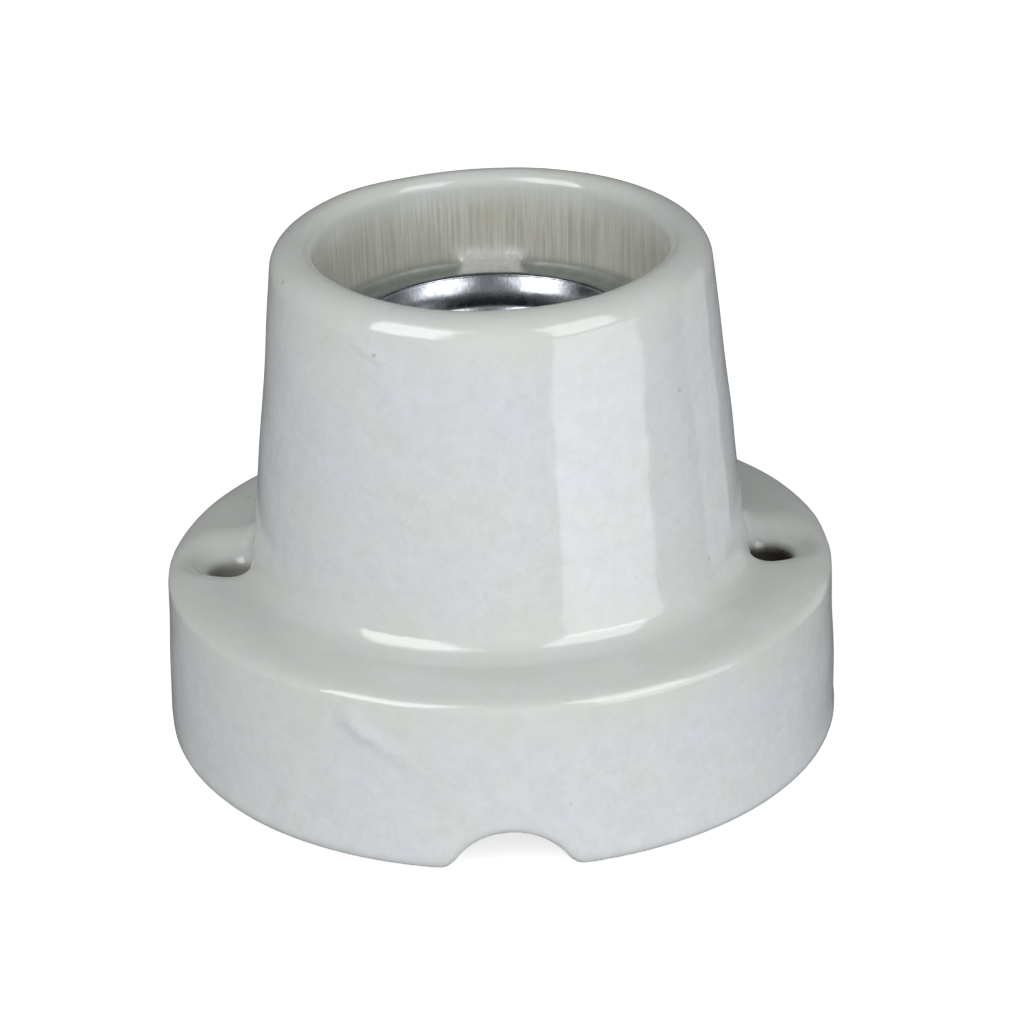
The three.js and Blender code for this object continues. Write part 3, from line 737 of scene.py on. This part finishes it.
def make_nut():
    low, high = node_box("shell_screw_nut")
    centre = (low + high) / 2
    flats = (high[1] - low[1]) / 2

    def field(x, y, z):
        u, v, w = x - centre[0], y - centre[1], z - centre[2]
        d = np.abs(v) - flats
        for a in (60, 120):
            c, s = math.cos(math.radians(a)), math.sin(math.radians(a))
            d = smooth_max(d, np.abs(u * s - v * c) - flats, 0.12)
        r = np.hypot(u, v)
        half = (high[2] - low[2]) / 2
        d = smooth_max(d, np.abs(w) - half, 0.15)
        d = smooth_max(d, (r - flats * 1.05 + np.abs(w) - half) * 0.7, 0.1)
        return smooth_max(d, NUT_BORE_R - r, 0.25)

    piece = make_mesh("shell_screw_hex_nut", *skin(field, low, high, 0.14))
    return place(piece, zinc, "zinc_steel", "root", "shell_screw_nut")


def make_spring_washer():
    low, high = node_box("shell_screw_spring_washer")
    centre = (low + high) / 2
    outer = (high[0] - low[0]) / 2

    def field(x, y, z):
        u, v, w = x - centre[0], y - centre[1], z - centre[2]
        r = np.hypot(u, v)
        d = smooth_max(r - outer, WASHER_BORE_R - r, 0.1)
        d = smooth_max(d, np.abs(w) - (high[2] - low[2]) / 2, 0.15)
        gap = np.maximum(np.abs(u + 0.35 * w) - 0.2, v)
        return smooth_max(d, -gap, 0.08)

    piece = make_mesh("shell_screw_lock_washer", *skin(field, low, high, 0.12))
    return place(piece, zinc, "zinc_steel", "root", "shell_screw_spring_washer")


TERMINALS = {
    "line": ((0.0, CONTACT_SCREW_Y), (-CLAMP_X, CLAMP_Y)),
    "neutral": ((SHELL_SCREW_X, 0.0), (CLAMP_X, CLAMP_Y)),
}
BAR_HALF_WIDTH = 3.6


def make_bar(name):
    start, end = (np.array(p) for p in TERMINALS[name])
    low, high = node_box(f"{name}_terminal_bar")

    def field(x, y, z):
        span = end - start
        t = np.clip(((x - start[0]) * span[0] + (y - start[1]) * span[1]) / (span @ span), 0, 1)
        d = np.hypot(x - start[0] - t * span[0], y - start[1] - t * span[1]) - BAR_HALF_WIDTH
        d = smooth_max(d, M3_TAPPED_R - np.hypot(x - start[0], y - start[1]), 0.2)
        d = smooth_max(d, M35_TAPPED_R - np.hypot(x - end[0], y - end[1]), 0.2)
        return smooth_max(d, np.abs(z - (low[2] + high[2]) / 2) - (high[2] - low[2]) / 2, 0.35)

    piece = make_mesh(f"{name}_terminal_bar_brass", *skin(field, low, high, 0.25))
    return place(piece, brass, "brass", "root", f"{name}_terminal_bar")


# The saddle is a ribbed plate whose lips straddle the bar.
SADDLE_GAP = 0.25
SADDLE_LIP = 0.8
SADDLE_THICKNESS = 1.0
SADDLE_HALF_LENGTH = 3.9
SADDLE_HOLE_R = 2.1
RIB_PITCH = 1.1
RIB_HEIGHT = 0.18


def make_saddle(name):
    start, end = (np.array(p) for p in TERMINALS[name])
    low, high = node_box(f"{name}_clamp_saddle")
    way = (end - start) / np.linalg.norm(end - start)
    half = BAR_HALF_WIDTH + SADDLE_GAP + SADDLE_LIP
    top = low[2] + SADDLE_THICKNESS

    def field(x, y, z):
        along = (x - end[0]) * way[0] + (y - end[1]) * way[1]
        across = -(x - end[0]) * way[1] + (y - end[1]) * way[0]
        in_plate = np.abs(z - low[2] - SADDLE_THICKNESS / 2) - SADDLE_THICKNESS / 2
        plate = smooth_max(np.abs(across) - half, in_plate, 0.3)
        in_lip = np.abs(z - (top + high[2]) / 2 + 0.3) - (high[2] - top) / 2 - 0.3
        lips = smooth_max(np.abs(np.abs(across) - half + SADDLE_LIP / 2) - SADDLE_LIP / 2, in_lip, 0.3)
        d = smooth_min(plate, lips, 0.3)
        d = smooth_max(d, np.abs(along) - SADDLE_HALF_LENGTH, 0.3)
        # Grooves across the clamping face bite on the conductor.
        ribs = top - RIB_HEIGHT - z + RIB_HEIGHT * np.abs(np.sin(along * math.pi / RIB_PITCH))
        d = np.where(np.abs(across) < half - 0.9, smooth_max(d, -ribs, 0.1), d)
        return smooth_max(d, SADDLE_HOLE_R - np.hypot(x - end[0], y - end[1]), 0.2)

    piece = make_mesh(f"{name}_clamp_saddle_brass", *skin(field, low, high, 0.2))
    return place(piece, brass, "brass", f"{name}_clamp_saddle", f"{name}_clamp_saddle")


# ---- Centre contact --------------------------------------------------------------------------------------
CONTACT_THICKNESS = foot_high[2] - foot_low[2]
CONTACT_HALF_WIDTH = foot_high[0]
PIVOT_Y = -2.6


def make_contact():
    """One bent strip: the foot flat on its boss, then the tongue, domed where the lamp's cap presses."""
    level = CONTACT_BOSS_Z + CONTACT_THICKNESS / 2
    flat = np.stack([np.linspace(foot_low[1], PIVOT_Y - 0.1, 16), np.full(16, level)], 1)
    t = np.linspace(0, 1, 34)[:, None]
    # A Bezier curve in y and z: it rises from the foot, and comes down again at the tip.
    knots = [np.array(p) for p in ((PIVOT_Y, level), (-0.8, 26.4), (1.2, 28.4), (4.0, 26.0))]
    rise = ((1 - t) ** 3 * knots[0] + 3 * (1 - t) ** 2 * t * knots[1] + 3 * (1 - t) * t**2 * knots[2]
            + t**3 * knots[3])
    line = np.concatenate([flat, rise])
    along = np.gradient(line, axis=0)
    along /= np.linalg.norm(along, axis=1, keepdims=True)
    aside = np.stack([-along[:, 1], along[:, 0]], 1)
    # Both ends of the strip are cropped round.
    end_round = 1.3
    from_end = np.minimum(np.linalg.norm(line - line[0], axis=1), np.linalg.norm(line - line[-1], axis=1))
    inset = end_round - np.sqrt(np.clip(end_round**2 - np.clip(end_round - from_end, 0, None) ** 2, 0, None))
    width = CONTACT_HALF_WIDTH - inset
    corner = 0.09
    half = CONTACT_THICKNESS / 2
    ring = [(1, -1), (1, 1), (-1, 1), (-1, -1)]
    profile = []
    for k, (sx, sz) in enumerate(ring):
        for a in (-45, -15, 15, 45):
            angle = math.radians(math.degrees(math.atan2(sz, sx)) + a)
            profile.append((sx, sz, corner * math.cos(angle), corner * math.sin(angle)))
        nx = ring[(k + 1) % 4]
        if nx[0] != sx:
            for f in (0.75, 0.5, 0.25, 0, -0.25, -0.5, -0.75):
                profile.append((sx * f, sz, 0.0, corner * sz))
    points = []
    for p, n, w in zip(line, aside, width):
        for sx, sz, cx, cz in profile:
            offset_x = sx * (w - corner) + cx
            offset_n = sz * (half - corner) + cz
            points.append((offset_x, p[0] + n[0] * offset_n, p[1] + n[1] * offset_n))
    rows = len(profile)
    quads = []
    for i in range(len(line) - 1):
        for j in range(rows):
            k = (j + 1) % rows
            quads.append((i * rows + j, i * rows + k, (i + 1) * rows + k, (i + 1) * rows + j))
    last = (len(line) - 1) * rows
    faces = [list(q) for q in quads]
    faces.append(list(range(rows))[::-1])
    faces.append(list(range(last, last + rows)))
    mesh = bpy.data.meshes.new("contact_strip")
    mesh.from_pydata((np.array(points) * MM).tolist(), [], faces)
    mesh.validate()
    mesh.shade_smooth()
    piece = bpy.data.objects.new("centre_contact_strip", mesh)
    bpy.context.scene.collection.objects.link(piece)
    piece.data.materials.append(bronze)
    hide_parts("contact_foot", "contact_tongue")
    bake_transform(piece)
    return piece


# ---- Build -----------------------------------------------------------------------------------------------
make_porcelain()
make_shell()
make_contact()
M3 = {"head_r": 2.65, "head_h": 1.9, "shank_r": 1.5, "pitch": 0.5}
M35 = {"head_r": 3.1, "head_h": 2.4, "shank_r": 1.75, "pitch": 0.6}
make_screw("shell_screw_left_slotted", "shell_screw_left", "root", 1, slot_angle=0.7, **M3)
make_screw("shell_screw_right_slotted", "shell_screw_right", "root", 1, slot_angle=0.7, **M3)
make_screw("contact_screw_slotted", "contact_screw", "root", 1, slot_angle=-0.3, **M3)
make_screw("line_clamp_screw_slotted", "line_clamp_screw", "line_clamp_screw", -1, slot_angle=-0.9, **M35)
make_screw("neutral_clamp_screw_slotted", "neutral_clamp_screw", "neutral_clamp_screw", -1,
           slot_angle=-0.2, **M35)
make_nut()
make_spring_washer()
for terminal in TERMINALS:
    make_bar(terminal)
    make_saddle(terminal)

# ---- Floor, light and camera -----------------------------------------------------------------------------
FLOOR_GLOW = 0.72

scene = bpy.context.scene
scene.view_settings.view_transform = "Standard"


def make_floor():
    mesh = bpy.data.meshes.new("floor")
    reach = 3.0
    mesh.from_pydata([(-reach, -reach, 0), (reach, -reach, 0), (reach, reach, 0), (-reach, reach, 0)], [],
                     [(0, 1, 2, 3)])
    floor = bpy.data.objects.new("floor", mesh)
    scene.collection.objects.link(floor)
    s = Shader("pale floor")
    # A lit sheet: it is bright to look at, and lights the object only by what falls on it.
    seen = s.add("ShaderNodeLightPath").outputs["Is Camera Ray"]
    glow = s.span(seen, 0.0, 1.0, 0.0, FLOOR_GLOW)
    s.set(Base_Color=(0.86, 0.86, 0.86), Roughness=0.7, Emission_Color=(1, 1, 1), Emission_Strength=glow)
    mesh.materials.append(s.material)
    floor.visible_glossy = False


def direction(azimuth, elevation):
    """A direction from the object. Azimuth 0 is towards the camera's side, -Y, and grows towards +X."""
    a, e = math.radians(azimuth), math.radians(elevation)
    return Vector((math.sin(a) * math.cos(e), -math.cos(a) * math.cos(e), math.sin(e)))


def soft_box(name, azimuth, elevation, distance, width, height, radiance, centre_z=0.03,
             glossy_only=False):
    """A rectangular light that faces the object. A glossy_only one shows in reflections alone."""
    light = bpy.data.lights.new(name, "AREA")
    light.shape = "RECTANGLE"
    light.size, light.size_y = width, height
    light.energy = radiance * math.pi * width * height
    lamp = bpy.data.objects.new(name, light)
    scene.collection.objects.link(lamp)
    way = direction(azimuth, elevation)
    lamp.location = Vector((0, 0, centre_z)) + way * distance
    lamp.rotation_euler = way.to_track_quat("Z", "Y").to_euler()
    lamp.visible_camera = False
    if glossy_only:
        lamp.visible_diffuse = False


BACKDROP = 1.0
MIRRORED = 0.4  # how much of the surroundings' light is left in reflections
# The surroundings' broad glows: azimuth and elevation in degrees, then strength.
WORLD_LOBES = {
    "front": (0, 6, 1.34),
    "front_right": (60, 0, 1.45),
    "left": (-115, 0, 0.35),
    "back": (170, 5, 0.45),
    "top": (0, 80, 0.1),
}


def make_world():
    """Dim surroundings, brightest on the camera's side."""
    world = bpy.data.worlds.new("studio")
    world.use_nodes = True
    scene.world = world
    tree = world.node_tree
    background = tree.nodes["Background"]
    background.inputs["Color"].default_value = (0.97, 0.985, 1.0, 1)
    way = tree.nodes.new("ShaderNodeTexCoord").outputs["Generated"]

    def math_node(kind, a, b):
        node = tree.nodes.new("ShaderNodeMath")
        node.operation = kind
        for socket, value in zip(node.inputs, (a, b)):
            if isinstance(value, (int, float)):
                socket.default_value = value
            else:
                tree.links.new(value, socket)
        return node.outputs[0]

    total = 0.0
    for name, (azimuth, elevation, strength) in WORLD_LOBES.items():
        dot = tree.nodes.new("ShaderNodeVectorMath")
        dot.operation = "DOT_PRODUCT"
        dot.inputs[1].default_value = direction(azimuth, elevation)
        tree.links.new(way, dot.inputs[0])
        lobe = math_node("POWER", math_node("MAXIMUM", dot.outputs["Value"], 0.0), 3.0)
        lobe = math_node("MULTIPLY", lobe, strength)
        lobe.node.name = name
        total = math_node("ADD", lobe, total)
    # A plain white backdrop to look at, whatever it lights.
    path = tree.nodes.new("ShaderNodeLightPath").outputs
    dimming = math_node("SUBTRACT", 1.0, math_node("MULTIPLY", path["Is Glossy Ray"], 1 - MIRRORED))
    total = math_node("MULTIPLY", total, dimming)
    total = math_node("MAXIMUM", math_node("MULTIPLY", path["Is Camera Ray"], BACKDROP), total)
    tree.links.new(total, background.inputs["Strength"])


# The view of the photograph, found by laying renders over it. Metres and degrees.
CAMERA_AIM_Z = 0.028
CAMERA_DISTANCE = 0.4745
CAMERA_ELEVATION = 24.7
CAMERA_ROLL = -1.77


def make_camera():
    data = bpy.data.cameras.new("camera")
    data.sensor_width = 36.0
    data.lens = 150.0
    data.shift_x = 0.0136
    data.shift_y = -0.0234
    camera = bpy.data.objects.new("camera", data)
    scene.collection.objects.link(camera)
    aim = Vector((0, 0, CAMERA_AIM_Z))
    back = direction(0, CAMERA_ELEVATION)
    camera.location = aim + back * CAMERA_DISTANCE
    roll = Matrix.Rotation(math.radians(CAMERA_ROLL), 4, "Z")
    turn = back.to_track_quat("Z", "Y").to_matrix().to_4x4()
    camera.matrix_world = Matrix.Translation(camera.location) @ turn @ roll
    scene.camera = camera


make_floor()
make_world()
soft_box("soft box right", 48, 36, 0.60, 0.38, 0.38, 3.9, glossy_only=True)
soft_box("soft box left", -47, 38, 0.60, 0.34, 0.36, 3.9, glossy_only=True)
soft_box("fill left", -44, 42, 0.60, 0.40, 0.44, 2.0)
soft_box("low card right", 47.5, -4, 0.11, 0.085, 0.075, 2.0, centre_z=0.04, glossy_only=True)
soft_box("edge card right", 118, -6, 0.20, 0.09, 0.16, 0.5, centre_z=0.04, glossy_only=True)
make_camera()
